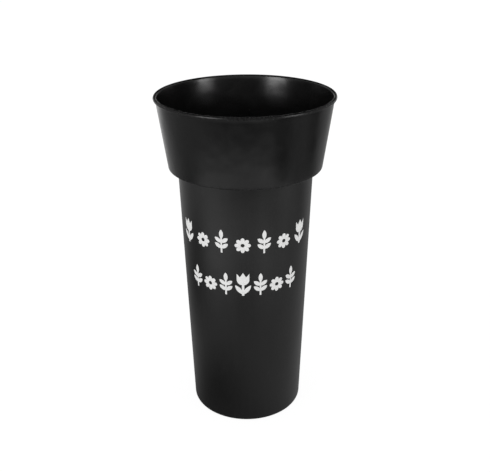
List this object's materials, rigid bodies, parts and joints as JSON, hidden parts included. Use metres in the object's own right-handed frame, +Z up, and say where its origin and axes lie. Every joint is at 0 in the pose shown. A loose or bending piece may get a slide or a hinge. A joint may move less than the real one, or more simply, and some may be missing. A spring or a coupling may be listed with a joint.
{
  "type": "florist bucket",
  "caption": "Tall round tapered plastic bucket for cut flowers, with a stepped neck, a flared collar, a rolled-over lip and pale floral marks printed on the front.",
  "frame": {"origin": "on the ground under the bucket's axis, at the middle of the foot ring's plane", "axes": "+Z up along the bucket's axis; the printed marks face -Y"},
  "size_m": [0.1812, 0.1812, 0.35],
  "materials": {
    "black_plastic": "satin, faintly grained, black polypropylene",
    "print_ink": "flat pale grey screen-printing ink"
  },
  "bodies": {
    "root": {"bucket_moulding": "black_plastic", "print_row1_1_tulip": "print_ink", "print_row1_2_daisy": "print_ink", "print_row1_3_sprig": "print_ink", "print_row1_4_daisy": "print_ink", "print_row1_5_sprig": "print_ink", "print_row1_6_daisy": "print_ink", "print_row1_7_tulip": "print_ink", "print_row2_1_sprig": "print_ink", "print_row2_2_daisy": "print_ink", "print_row2_3_sprig": "print_ink", "print_row2_4_tulip": "print_ink", "print_row2_5_sprig": "print_ink", "print_row2_6_daisy": "print_ink", "print_row2_7_sprig": "print_ink"}
  },
  "joints": []
}
